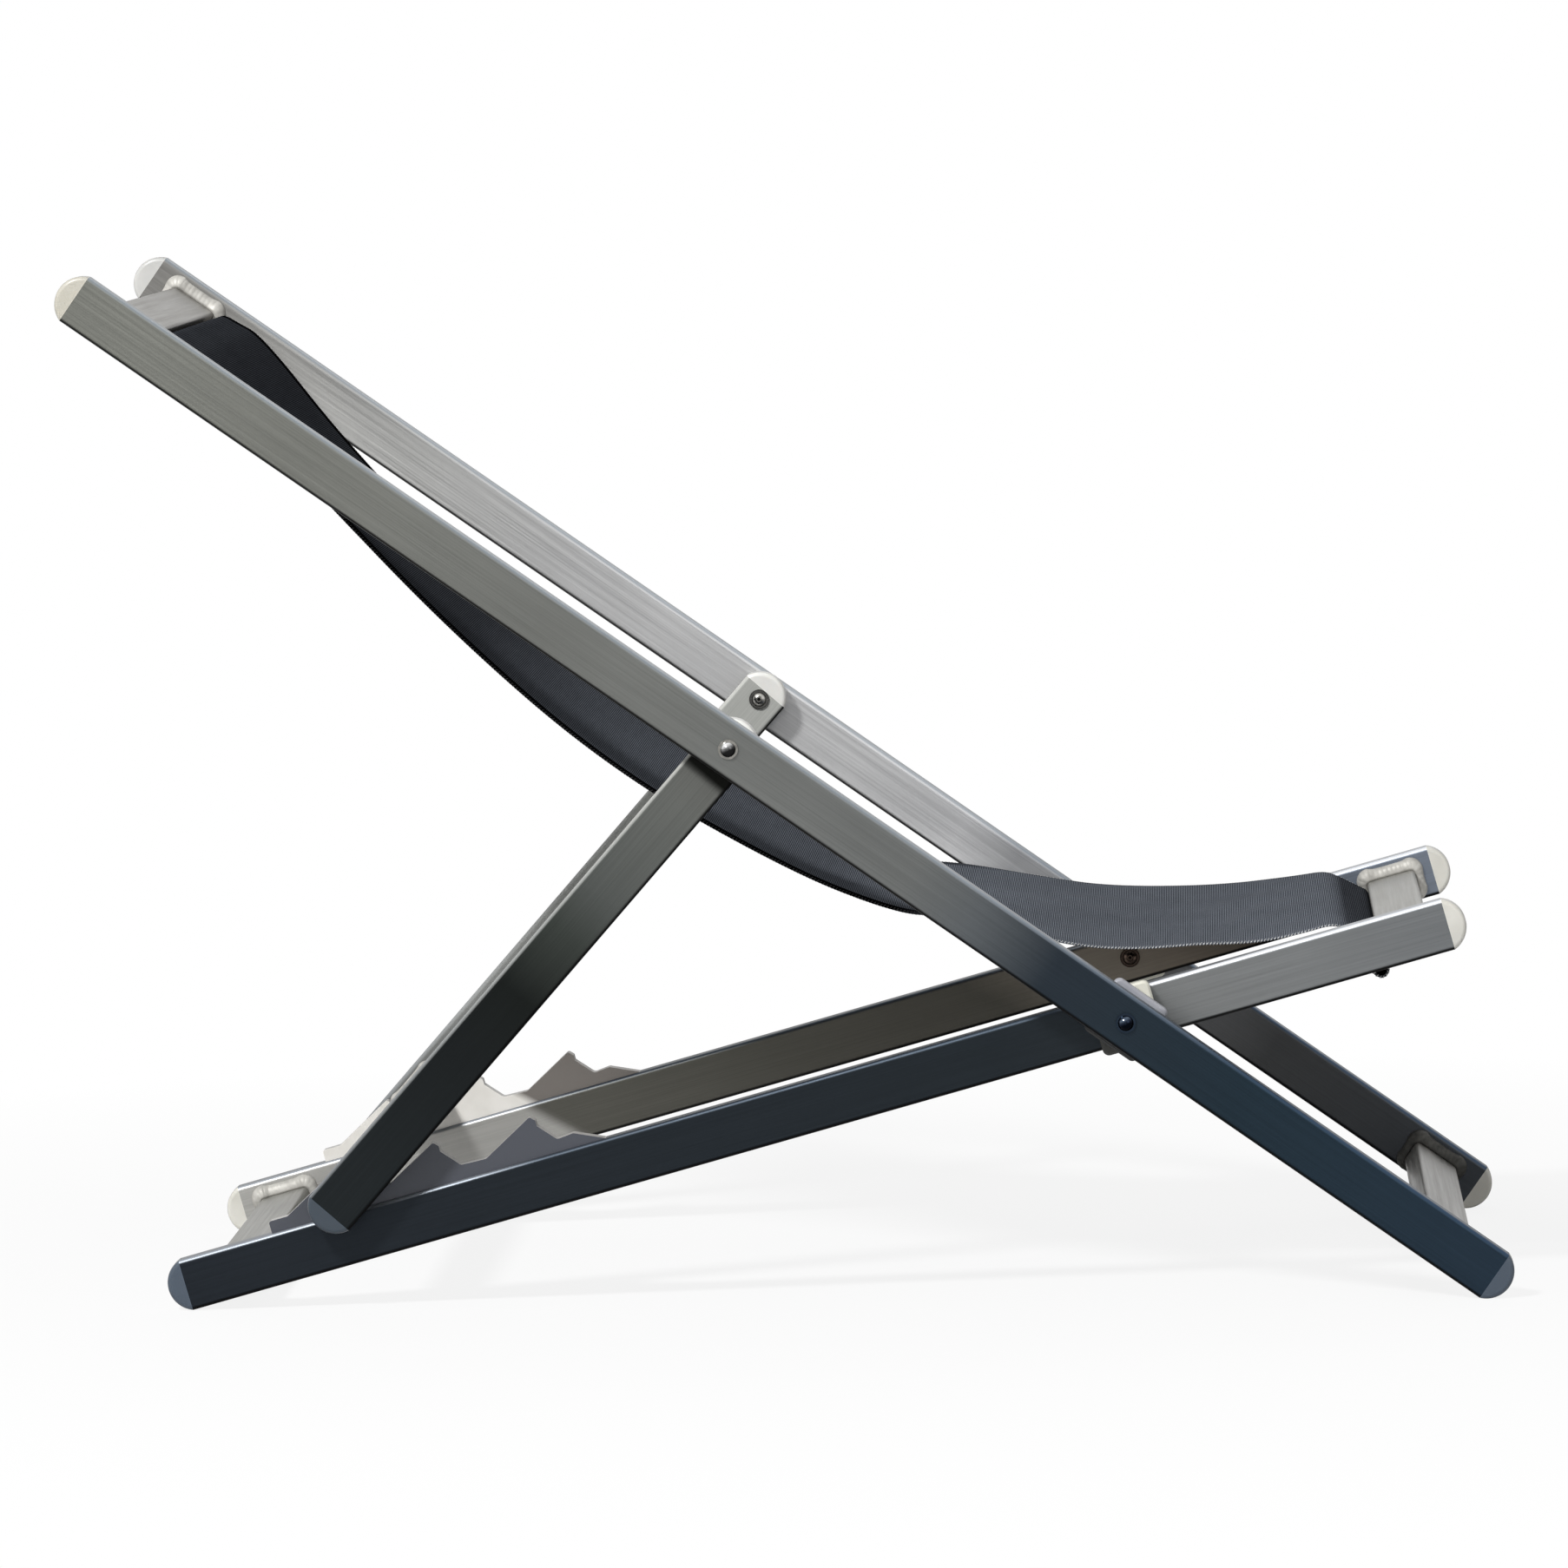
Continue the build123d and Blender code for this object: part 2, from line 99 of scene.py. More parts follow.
def along(angle, reach, height):
    """Point in the middle plane at a place along a rail and a height from its axis."""
    x = pivot.x + reach * math.cos(angle) - height * math.sin(angle)
    z = pivot.z + reach * math.sin(angle) + height * math.cos(angle)
    return Vector((x, 0, z))


# Colours


def srgb(red, green, blue):
    """Linear colour, with alpha, of a screen colour from 0 to 255."""
    def linear(value):
        share = value / 255
        return share / 12.92 if share <= 0.04045 else ((share + 0.055) / 1.055) ** 2.4
    return (linear(red), linear(green), linear(blue), 1.0)


def grey(value):
    return (value, value, value, 1.0)


def tones(*stops):
    """Places with the screen colours there."""
    return [(place, srgb(*colour)) for place, *colour in stops]


def greys(*stops):
    """Places with the linear greys there."""
    return [(place, grey(value)) for place, value in stops]


# Node helpers


class Nodes:
    """The node tree of a material or the world, with one short call for each kind of node."""

    def __init__(self, owner):
        owner.use_nodes = True
        self.tree = owner.node_tree
        self.tree.nodes.clear()

    def node(self, kind, inputs=None, **settings):
        made = self.tree.nodes.new(kind)
        for key, value in settings.items():
            setattr(made, key, value)
        for key, value in (inputs or {}).items():
            self.give(made.inputs[key], value)
        return made

    def give(self, socket, value):
        """Links a socket to another one, or sets its value."""
        if isinstance(value, bpy.types.NodeSocket):
            self.tree.links.new(value, socket)
        else:
            socket.default_value = value

    def object_place(self):
        return self.node("ShaderNodeTexCoord").outputs["Object"]

    def normal(self):
        return self.node("ShaderNodeNewGeometry").outputs["Normal"]

    def parts(self, vector):
        """A vector's three numbers."""
        return self.node("ShaderNodeSeparateXYZ", {0: vector}).outputs[:3]

    def scaled(self, vector, scale):
        return self.node("ShaderNodeMapping", {"Scale": scale, "Vector": vector}).outputs[0]

    def turned(self, vector, angle):
        """A vector turned about Y, so that a rail at this angle lies along X."""
        return self.node("ShaderNodeMapping", {"Rotation": (0, angle, 0), "Vector": vector}).outputs[0]

    def vectors(self, operation, first, second=(0, 0, 0)):
        """A vector, or a number for a dot product or a length."""
        made = self.node("ShaderNodeVectorMath", {0: first, 1: second}, operation=operation)
        return made.outputs["Value" if operation in ("DOT_PRODUCT", "LENGTH") else "Vector"]

    def maths(self, operation, first, second=0.0):
        return self.node("ShaderNodeMath", {0: first, 1: second}, operation=operation).outputs[0]

    def noise(self, vector, scale, detail=3.0, roughness=0.5):
        made = self.node("ShaderNodeTexNoise", {"Vector": vector, "Scale": scale, "Detail": detail,
                                                "Roughness": roughness})
        return made.outputs["Fac"]

    def spread(self, value, low, high, to_low=0.0, to_high=1.0):
        """The value taken from one range to another, and held at its ends."""
        made = self.node("ShaderNodeMapRange", {"Value": value, "From Min": low, "From Max": high,
                                                "To Min": to_low, "To Max": to_high})
        return made.outputs["Result"]

    def ramp(self, share, stops):
        made = self.node("ShaderNodeValToRGB", {"Fac": share})
        elements = made.color_ramp.elements
        while len(elements) > 1:
            elements.remove(elements[-1])
        elements[0].position, elements[0].color = stops[0]
        for position, colour in stops[1:]:
            elements.new(position).color = colour
        return made.outputs["Color"]

    def mix(self, share, first, second, blend="MIX"):
        """A mix of two colours: the node keeps its colour sockets at 6 and 7."""
        inputs = {0: share, 6: first, 7: second}
        return self.node("ShaderNodeMix", inputs, data_type="RGBA", blend_type=blend).outputs[2]

    def times(self, first, second):
        """A colour times another colour or a number."""
        return self.mix(1.0, first, second, "MULTIPLY")


class Finish(Nodes):
    """A new material's node tree, round its shader."""

    def __init__(self, name):
        self.material = bpy.data.materials.new(name)
        super().__init__(self.material)
        self.shader = self.node("ShaderNodeBsdfPrincipled")
        self.output = self.node("ShaderNodeOutputMaterial", {0: self.shader.outputs[0]})

    def shade(self, **values):
        """Sets the shader's sockets by name, with spaces for underscores."""
        for key, value in values.items():
            self.give(self.shader.inputs[key.replace("_", " ")], value)

    def bump(self, height, strength, distance):
        made = self.node("ShaderNodeBump", {"Height": height, "Strength": strength, "Distance": distance})
        self.shade(Normal=made.outputs[0])

    def outwards(self, place):
        """0 on faces that look to the chair's middle, 1 on those that look away from it."""
        side = self.maths("SIGN", self.parts(place)[1])
        return self.spread(self.maths("MULTIPLY", self.parts(self.normal())[1], side), -0.5, 0.5)

    def edges(self, radius):
        """1 near a sharp edge, from the difference that a rounded normal makes, and 0 on flat faces."""
        rounded = self.node("ShaderNodeBevel", {"Radius": radius}, samples=4).outputs[0]
        return self.spread(self.vectors("DOT_PRODUCT", rounded, self.normal()), 0.995, 0.85)


# Metals


def aluminium(name, angle, origin, outer, inner, top, metallic=0.75, gloss=0.25, skew=0.0):
    """Brushed tube whose tone follows the rail, apart for its outer, inner and top sides: these tones are
    painted light and shade.

    The skew leans the inner tones across the rail, along the edge of a painted shadow. The top is a painted sky
    reflection, whose flat is duller than its roundings, where it is a painted highlight, and undersides are
    nearly black with painted shade.
    """
    m = Finish(name)
    place = m.object_place()
    turned = m.turned(m.vectors("SUBTRACT", place, origin), angle)
    reach, _, height = m.parts(turned)

    def tone(stops, lean=0.0):
        first, last = stops[0][0], stops[-1][0]
        leaning = m.maths("ADD", reach, m.maths("MULTIPLY", height, lean))
        shares = [((at - first) / (last - first), colour) for at, colour in stops]
        return m.ramp(m.spread(leaning, first, last), shares)

    # painted light and shade: tones along the rail for each side
    sides = m.mix(m.outwards(place), tone(inner, skew), tone(outer))
    fine = m.noise(m.scaled(turned, (6, 260, 900)), 1.0, 4.0, 0.6)
    broad = m.noise(m.scaled(turned, (2.5, 40, 160)), 1.0, 2.0)
    cloud = m.noise(turned, 9.0)
    streaks = m.mix(0.4, m.spread(fine, 0.25, 0.75, 0.78, 1.2), m.spread(broad, 0.3, 0.7, 0.94, 1.05))
    brushed = m.times(m.times(sides, streaks), m.spread(cloud, 0.3, 0.7, 0.95, 1.04))
    _, sideways, upwards = m.parts(m.normal())
    # painted sky reflection on the top, duller on its flat, with a painted highlight on its roundings
    painted_top_reflection = m.times(tone(top), m.spread(m.maths("ABSOLUTE", sideways), 0.1, 0.4, 0.4, 1.0))
    colour = m.mix(m.spread(upwards, 0.15, 0.7, 0.0, 0.85), brushed, painted_top_reflection)
    # painted shade: undersides nearly black
    m.shade(Base_Color=m.times(colour, m.spread(upwards, -0.45, -0.1, 0.05, 1.0)), Metallic=metallic)
    m.shade(Roughness=m.spread(fine, 0.3, 0.7, 0.36, 0.5), Specular_IOR_Level=gloss)
    m.bump(fine, 0.12, 0.2 * MM)
    return m.material


def bar_metal(name, angle, colour, other):
    """Brushed crossbar: the same finish with its grain across the chair, and painted shade on its underside."""
    m = Finish(name)
    turned = m.turned(m.object_place(), angle)
    fine = m.noise(m.scaled(turned, (320, 5, 320)), 1.0, 4.0, 0.6)
    cloud = m.noise(turned, 14.0)
    tone = m.mix(m.spread(cloud, 0.3, 0.7), colour, other)
    streaked = m.times(tone, m.spread(fine, 0.25, 0.75, 0.93, 1.05))
    upwards = m.parts(m.normal())[2]
    # painted shade: the underside is darker
    m.shade(Base_Color=m.times(streaked, m.spread(upwards, -0.95, -0.7, 0.35, 1.0)), Metallic=0.5)
    m.shade(Roughness=m.spread(fine, 0.3, 0.7, 0.3, 0.45))
    m.bump(fine, 0.1, 0.2 * MM)
    return m.material


def weld_metal(name, dark, light):
    """Lumpy aluminium of a weld bead, dusted with soot."""
    m = Finish(name)
    place = m.object_place()
    lumps = m.noise(place, 160.0)
    soot = m.noise(place, 50.0)
    tone = m.mix(m.spread(lumps, 0.35, 0.65), dark, light)
    m.shade(Base_Color=m.times(tone, m.spread(soot, 0.35, 0.6, 0.9, 1.03)), Metallic=0.2)
    m.shade(Roughness=m.spread(soot, 0.3, 0.7, 0.6, 0.48), Specular_IOR_Level=0.25)
    m.bump(lumps, 0.05, 0.3 * MM)
    return m.material


def rod_metal(name, colour):
    """Drawn steel with faint marks round it and smudges."""
    m = Finish(name)
    place = m.object_place()
    smudge = m.noise(place, 220.0)
    marks = m.noise(m.scaled(place, (400, 4000, 400)), 1.0)
    dim = tuple(part * 0.7 for part in colour[:3]) + (1.0,)
    m.shade(Base_Color=m.mix(m.spread(smudge, 0.3, 0.7, 0.0, 0.35), colour, dim), Metallic=1.0)
    m.shade(Roughness=m.spread(smudge, 0.3, 0.7, 0.3, 0.42))
    m.bump(marks, 0.05, 0.1 * MM)
    return m.material


def bolt_metal(name, rim, painted_reflection):
    """Polished bolt: a dome with a painted reflection, whose tone follows its lean to the sky, over a turned
    flange.
    """
    m = Finish(name)
    place = m.object_place()
    sky = (-0.45, 0, 0.89)
    flange_top = half_width + 1.55 * MM
    smudge = m.noise(place, 260.0)
    # painted reflection: the dome's tone follows its lean to the sky
    towards = m.vectors("DOT_PRODUCT", m.vectors("MULTIPLY", m.normal(), (1, 0, 1)), sky)
    dome = m.ramp(m.spread(towards, -1.0, 1.0), painted_reflection)
    from_middle = m.maths("ABSOLUTE", m.parts(place)[1])
    tone = m.mix(m.spread(from_middle, flange_top, flange_top + 0.3 * MM), rim, dome)
    m.shade(Base_Color=m.times(tone, m.spread(smudge, 0.3, 0.7, 0.85, 1.1)), Metallic=1.0)
    m.shade(Roughness=m.spread(smudge, 0.3, 0.7, 0.1, 0.2))
    return m.material


def screw_metal(name, origin, tint):
    """Socket screw over its washer, with rings of painted reflection round a socket dark with painted shade."""
    m = Finish(name)
    place = m.object_place()
    washer_radius = 8 * MM
    flat = m.vectors("MULTIPLY", m.vectors("SUBTRACT", place, origin), (1, 0, 1))
    share = m.spread(m.vectors("LENGTH", flat), 0.0, washer_radius)
    # painted reflection in rings round the head, and painted shade in its socket
    rings = m.ramp(share, greys((0.0, 0.03), (0.15, 0.03), (0.19, 0.55), (0.26, 0.4), (0.31, 0.09), (0.38, 0.5),
                                (0.52, 0.75), (0.6, 0.42), (0.67, 0.08), (0.78, 0.3), (0.9, 0.22), (1.0, 0.1)))
    smudge = m.noise(place, 300.0)
    m.shade(Base_Color=m.times(m.times(rings, m.spread(smudge, 0.3, 0.7, 0.85, 1.1)), tint), Metallic=1.0)
    m.shade(Roughness=m.spread(smudge, 0.3, 0.7, 0.2, 0.32))
    return m.material


# Plastic


def plastic(name, colour, other, roughness=0.5, shade=None, heights=None, inner=None, places=None, lean=0.0,
            rim=1.0, subsurface=0.0):
    """Moulded plastic with faint mottling, a fine grain and edges paler with a painted highlight.

    The shade is painted shade on its outer side, fully at the lower of two heights and not at all at the upper
    one. The inner tone is a painted shadow that comes in on its inner side from the first to the second of two
    places along the chair, which lean with height. The rim's share is left of the colour on faces that look
    along the chair or up, as painted shade.
    """
    m = Finish(name)
    place = m.object_place()
    x, _, z = m.parts(place)
    mottle = m.noise(place, 45.0, 4.0)
    grain = m.noise(place, 900.0, 2.0)
    base = m.mix(m.spread(mottle, 0.35, 0.65), colour, other)
    # painted shade on the outer side, low down
    if shade is not None:
        lowness = m.spread(z, *heights, 1.0, 0.0)
        base = m.mix(m.maths("MULTIPLY", m.outwards(place), lowness), base, shade)
    # painted shadow on the inner side, past an edge that leans with height
    if inner is not None:
        ahead = m.spread(m.maths("ADD", x, m.maths("MULTIPLY", z, lean)), *places)
        inwards = m.maths("SUBTRACT", 1.0, m.outwards(place))
        base = m.mix(m.maths("MULTIPLY", inwards, ahead), base, inner)
    # painted shade on faces that look along the chair or up
    if rim < 1.0:
        sideways = m.maths("ABSOLUTE", m.parts(m.normal())[1])
        base = m.times(base, m.spread(sideways, 0.1, 0.5, rim, 1.0))
    # painted highlight on the edges
    wear_and_painted_light = m.maths("MULTIPLY", m.edges(0.9 * MM), 0.8)
    m.shade(Base_Color=m.mix(wear_and_painted_light, base, m.times(base, grey(1.3))))
    m.shade(Roughness=m.spread(grain, 0.3, 0.7, roughness - 0.05, roughness + 0.06))
    m.shade(Subsurface_Weight=subsurface, Subsurface_Radius=(6 * MM, 5 * MM, 4 * MM))
    m.bump(grain, 0.08, 0.3 * MM)
    return m.material


# Finishes of the tubes, with painted light and shade in the tones read along each frame from its pivot
metal_long = aluminium(
    "brushed_aluminium_long", long_angle, pivot,
    outer=tones((-0.98, 117, 118, 112), (-0.75, 114, 115, 110), (-0.2, 105, 107, 106), (-0.14, 88, 92, 95),
                (-0.07, 40, 48, 56), (0.1, 32, 46, 56), (0.34, 36, 50, 63)),
    inner=tones((-0.98, 119, 118, 115), (-0.9, 136, 135, 132), (-0.72, 180, 180, 178), (-0.55, 198, 198, 198),
                (-0.28, 212, 212, 212), (-0.17, 204, 204, 205), (-0.12, 150, 151, 153), (0.14, 68, 69, 70),
                (0.34, 62, 66, 71)),
    top=tones((-0.98, 150, 158, 166), (-0.15, 150, 158, 166), (0.1, 68, 88, 112), (0.34, 58, 78, 102)))
# The base rails' inner tones, leant by the skew, hold the painted shadow of the sling
metal_base = aluminium(
    "brushed_aluminium_base", base_angle, pivot, skew=1.04,
    outer=tones((-0.76, 34, 39, 45), (-0.1, 34, 40, 45), (0.0, 44, 50, 55), (0.03, 125, 127, 127),
                (0.26, 114, 117, 119)),
    inner=tones((-0.76, 180, 179, 175), (-0.492, 174, 173, 169), (-0.48, 94, 93, 87), (-0.36, 90, 89, 83),
                (-0.12, 77, 75, 69), (-0.04, 120, 114, 104), (0.03, 112, 104, 94), (0.09, 78, 72, 64),
                (0.2, 118, 126, 138), (0.26, 118, 126, 138)),
    top=tones((-0.76, 158, 164, 172), (-0.52, 146, 152, 160), (-0.46, 66, 74, 84), (-0.05, 66, 76, 88),
              (0.03, 226, 229, 234), (0.26, 226, 229, 234)))
# The prop leg's dark outer band beside its pivot is the long rail's painted shadow
metal_prop = aluminium(
    "brushed_aluminium_prop", prop_angle, prop_pivot, metallic=0.15, gloss=0.06,
    outer=tones((-0.48, 30, 34, 36), (-0.43, 30, 34, 36), (-0.31, 24, 27, 28), (-0.25, 22, 25, 24),
                (-0.19, 54, 58, 55), (-0.15, 77, 80, 78), (-0.06, 96, 98, 95), (-0.034, 96, 97, 94),
                (-0.027, 20, 21, 18), (0.02, 20, 21, 18)),
    inner=tones((-0.48, 110, 112, 112), (0.02, 184, 185, 180)),
    top=tones((-0.48, 150, 154, 158), (-0.2, 190, 192, 190), (0.02, 226, 226, 220)))

# The crossbars are one aluminium in copies toned for the light on each: the head bar's darker copy is painted
# shade
bar_head = bar_metal("brushed_aluminium_bar_head", long_angle, srgb(82, 79, 73), srgb(90, 87, 81))
bar_foot = bar_metal("brushed_aluminium_bar_foot", long_angle, srgb(105, 103, 99), srgb(114, 112, 108))
bar_base = bar_metal("brushed_aluminium_bar_base", base_angle, srgb(114, 113, 108), srgb(124, 123, 117))
bar_prop = bar_metal("brushed_aluminium_bar_prop", prop_angle, srgb(104, 103, 100), srgb(114, 113, 109))
# The foot's beads are a darker copy of the weld metal: painted shade
weld_pale = weld_metal("weld_aluminium", srgb(176, 174, 168), srgb(197, 195, 189))
weld_painted_shade = weld_metal("weld_aluminium_painted_shade", srgb(66, 66, 63), srgb(84, 83, 79))

# Finishes of the mouldings, with painted shade on their outer sides towards the floor, and on the plates' below
# the main pivot
# The caps' rim share darkens faces that look along the chair or up: painted shade
cap_look = {"roughness": 0.36, "rim": 0.6, "subsurface": 0.12}
cap_heights = (0.14, 0.3)
cap_light = plastic("cap_plastic_light", srgb(222, 220, 212), srgb(212, 210, 201), shade=srgb(68, 79, 92),
                    heights=cap_heights, **cap_look)
# The head caps' darker copy of the cap colour, and their outer shade, are painted shade
cap_head = plastic("cap_plastic_head", srgb(198, 197, 194), srgb(189, 189, 186), shade=srgb(175, 170, 154),
                   heights=(0.6, 1.2), **cap_look)
# The prop caps' paler copy of the cap colour is painted light, and their darker outer shade is painted shade
cap_prop = plastic("cap_plastic_prop", srgb(242, 241, 236), srgb(233, 232, 227), shade=srgb(53, 63, 73),
                   heights=cap_heights, **cap_look)
# The rack's outer side is painted shade all over, and its inner side, past an edge that leans with height, a
# painted shadow
rack_grey = plastic("rack_plastic", srgb(236, 233, 227), srgb(227, 224, 217), shade=srgb(64, 67, 75),
                    heights=(0.3, 0.4), inner=srgb(112, 107, 102), places=(-0.04, -0.026), lean=1.91)
# The plates' outer sides below the main pivot are painted shade
plate_heights = (pivot.z - 3 * MM, pivot.z + 9 * MM)
plate_grey = plastic("plate_plastic_grey", srgb(168, 169, 175), srgb(158, 159, 166), shade=srgb(36, 37, 37),
                     heights=plate_heights)
plate_cream = plastic("plate_plastic_cream", srgb(226, 225, 212), srgb(217, 215, 202), shade=srgb(52, 52, 49),
                      heights=plate_heights)

# Finishes of the fasteners
# The bolts are one polished steel: each dome's tones are a painted reflection, and the main pivot's dark, bluer
# copy is painted shade
bolt_pale = bolt_metal("bolt_steel_pale", srgb(176, 174, 168),
                       greys((0.0, 0.012), (0.42, 0.02), (0.5, 0.06), (0.6, 0.2), (0.72, 0.55), (0.84, 1.0),
                             (0.93, 0.6), (1.0, 0.3)))
bolt_painted_shade = bolt_metal("bolt_steel_painted_shade", srgb(40, 50, 62),
                       tones((0.0, 8, 10, 14), (0.45, 12, 16, 24), (0.6, 36, 44, 58), (0.76, 92, 104, 120),
                             (0.88, 52, 62, 76), (1.0, 36, 44, 56)))
# The main pivot screw's darker, browner tint is painted shade
screw_prop = screw_metal("screw_steel_prop", prop_pivot, srgb(214, 212, 206))
screw_main = screw_metal("screw_steel_main", pivot, srgb(112, 96, 86))
rod_steel = rod_metal("drawn_steel", srgb(110, 111, 114))

# A frame node has the finish of the first of these words in its name
finishes = (
    ("sling_rod", rod_steel),
    ("spacer", plate_grey),
    ("main_pivot_bolt", bolt_painted_shade),
    ("prop_pivot_bolt", bolt_pale),
    ("main_pivot", screw_main),
    ("prop_pivot", screw_prop),
    ("long_hinge", plate_grey),
    ("base_hinge", plate_cream),
    ("rack", rack_grey),
    ("long_head_cap", cap_head),
    ("prop_top_cap", cap_prop),
    ("prop_tail_cap", cap_prop),
    ("cap", cap_light),
    ("prop_weld", weld_pale),
    ("head_crossbar", bar_head),
    ("foot_crossbar", bar_foot),
    ("prop_crossbar", bar_prop),
    ("crossbar", bar_base),
    ("long_rail", metal_long),
    ("base_rail", metal_base),
    ("prop_leg", metal_prop),
)
for name in nodes:
    if name != "sling":
        materials = nodes[name].data.materials
        materials.clear()
        materials.append(next(finish for word, finish in finishes if word in name))


def new_piece(name, bm, material):
    """An object of a closed bmesh, whose faces are first turned to look outwards."""
    bmesh.ops.recalc_face_normals(bm, faces=bm.faces)
    mesh = bpy.data.meshes.new(name)
    bm.to_mesh(mesh)
    bm.free()
    mesh.materials.append(material)
    piece = bpy.data.objects.new(name, mesh)
    bpy.context.collection.objects.link(piece)
    return piece


# Welds
path_step = 0.55 * MM
ripple_pitch = 3.8 * MM
ripple_lean = 1.4 * MM
ripple_relief = 0.045
ripple_heights = (0.7, 1.3)
ripple_roundness = 0.6
ripple_points = 9
bead_root = 0.4 * MM
bead_least = 1.2 * MM

# A bead's sizes as shares of its leg, and its height's most as a share of its width
bead_width = 1.08
wider_above = 0.34
narrower_below = 0.2
crest_share = 0.6
bead_steepness = 1.1

# Swellings where a bead's long runs start and stop: the signs of their corner, and what they add to its height
swelling_reach = 4.5 * MM
swelling_inset = 2 * MM
swelling_width = 0.6
swellings = [(Vector((u * (rail_width / 2 - swelling_inset), v * tube / 2)), size)
             for u, v, size in ((-1, 1, 0.34), (1, 1, 0.26), (1, -1, 0.2), (-1, -1, 0.24))]


def bead_path(leg):
    """Points close together round a crossbar's rounded section, each with its way out of the bar."""
    half_u, half_v = rail_width / 2 - rail_corner, tube / 2 - rail_corner
    corner_steps = 6
    outline = []
    for quarter, (u, v) in enumerate(((1, 1), (-1, 1), (-1, -1), (1, -1))):
        for step in range(corner_steps + 1):
            angle = math.radians(90 * (quarter + step / corner_steps))
            out = Vector((math.cos(angle), math.sin(angle)))
            outline.append((Vector((u * half_u, v * half_v)) + rail_corner * out, out))
    path = []
    for (first, first_out), (second, second_out) in zip(outline, outline[1:] + outline[:1]):
        run = (second - first).length + leg * (second_out - first_out).length
        count = max(1, round(run / path_step))
        for step in range(count):
            share = step / count
            path.append((first.lerp(second, share), first_out.lerp(second_out, share).normalized()))
    return path


def bead(name, side, body, turn, origin, inner_face, leg, centre, rod, metal):
    """Rippled weld bead round a crossbar's end, over the corner between the bar and a rail's inner face.

    Its ripples lean like laid coins, and it is broader above the bar. Beside a sling rod it keeps clear of it.
    """
    path = bead_path(leg)
    travelled = [0.0]
    for (first, first_out), (second, second_out) in zip(path, path[1:] + path[:1]):
        crest_step = (second + second_out * leg * crest_share) - (first + first_out * leg * crest_share)
        travelled.append(travelled[-1] + crest_step.length)
    ripples = round(travelled[-1] / ripple_pitch)
    heights = [random.uniform(*ripple_heights) for _ in range(ripples)]
    rows = []
    for (point, out), reach in zip(path, travelled):
        swell = sum(size * math.exp(-((point - spot).length / swelling_reach) ** 2) for spot, size in swellings)
        change = wider_above if out.y > 0 else narrower_below
        wide = leg * (1.0 + swelling_width * swell) * (bead_width + change * out.y)
        if rod is not None:
            gap = (point - (Vector(rod) - Vector(centre))).length - rod_radius - sling_thickness - hem_clearance
            wide = min(wide, max(gap, bead_least))
        tall = min(leg * (1.0 + swell), wide * bead_steepness)
        row = []
        for index in range(ripple_points):
            angle = math.pi / 2 * index / (ripple_points - 1)
            bulge = math.sin(2 * angle)
            at = ((reach - ripple_lean * bulge) / travelled[-1] * ripples) % ripples
            rise = heights[int(at) % ripples] * abs(math.sin(math.pi * at)) ** ripple_roundness
            relief = 1.0 + ripple_relief * rise * bulge
            row.append((point + out * wide * relief * math.cos(angle), tall * relief * math.sin(angle)))
        row.append((point - out * bead_root, -bead_root))
        rows.append(row)
    u_way = Vector((math.cos(turn), 0, math.sin(turn)))
    v_way = Vector((-math.sin(turn), 0, math.cos(turn)))
    bm = bmesh.new()
    lines = []
    for row in rows:
        line = []
        for spot, lift in row:
            flat = Vector(centre) + spot
            place = u_way * flat.x + v_way * flat.y + Vector((0, side * (inner_face - lift), 0))
            line.append(bm.verts.new(place + origin))
        lines.append(line)
    for first, second in zip(lines, lines[1:] + lines[:1]):
        for index in range(len(first)):
            after = (index + 1) % len(first)
            bm.faces.new((first[index], first[after], second[after], second[index])).smooth = True
    piece = new_piece(name, bm, metal)
    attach(piece, body)


pocket_middle = rod_radius + hem_clearance + sling_thickness / 2
head_rod = head_bar + rail_width / 2 + bar_to_hem + pocket_middle + sling_thickness / 2
front_rod = front_bar - rail_width / 2 - hem_clearance - pocket_middle - sling_thickness / 2

# Frames: body, lean, origin, the rails' inner faces from the chair's middle, and the bead's leg
long_rails = ("long_frame", long_angle, pivot, half_width - tube, 6.1 * MM)
base_rails = ("base_frame", base_angle, pivot, half_width - 2 * (tube + layer_gap) - tube, 6.1 * MM)
prop_legs = ("prop_frame", prop_angle, prop_pivot, half_width - 2 * tube - layer_gap, 4.1 * MM)
welds = (
    # name, frame, the bar's centre, that of a sling rod beside it, and the bead's metal
    ("head", long_rails, (head_bar, -bar_drop), (head_rod, -rod_drop), weld_pale),
    ("foot", long_rails, (foot_bar, -bar_drop), None, weld_painted_shade),
    ("rear", base_rails, (rear_bar, -bar_drop), None, weld_pale),
    ("front", base_rails, (front_bar, -bar_drop), (front_rod, -rod_drop), weld_pale),
    ("prop", prop_legs, (prop_bar, 0), None, weld_pale),
)
for word, side in (("right", -1), ("left", 1)):
    for name, rails, bar, rod, metal in welds:
        bead(f"weld_{name}_{word}", side, *rails, bar, rod, metal)


# Sling cloth: its weave, and the painted light and shade that make it paler or darker at places down its length
rib_pitch = 1.4 * MM
yarn_pitch = 1.1 * MM
# Width, blur and ends of the painted shade along the cloth's edges beside the back
painted_edge_shade_width = 20 * MM
painted_edge_shade_blur = 2 * MM
painted_edge_shade_ends = (0.78, 0.86)
thread_painted_shade_ends = (pivot.x - 120 * MM, pivot.x - 70 * MM)
painted_light_reach = 1.2
painted_light_down_sling = ((0.0, 1.3), (0.17, 1.28), (0.28, 1.3), (0.38, 1.55), (0.476, 2.9), (0.548, 3.6), (0.72, 3.45),
          (0.85, 5.0), (0.914, 4.6), (0.982, 4.4), (1.1225, 4.8), (1.1295, 1.9), (1.2, 1.9))


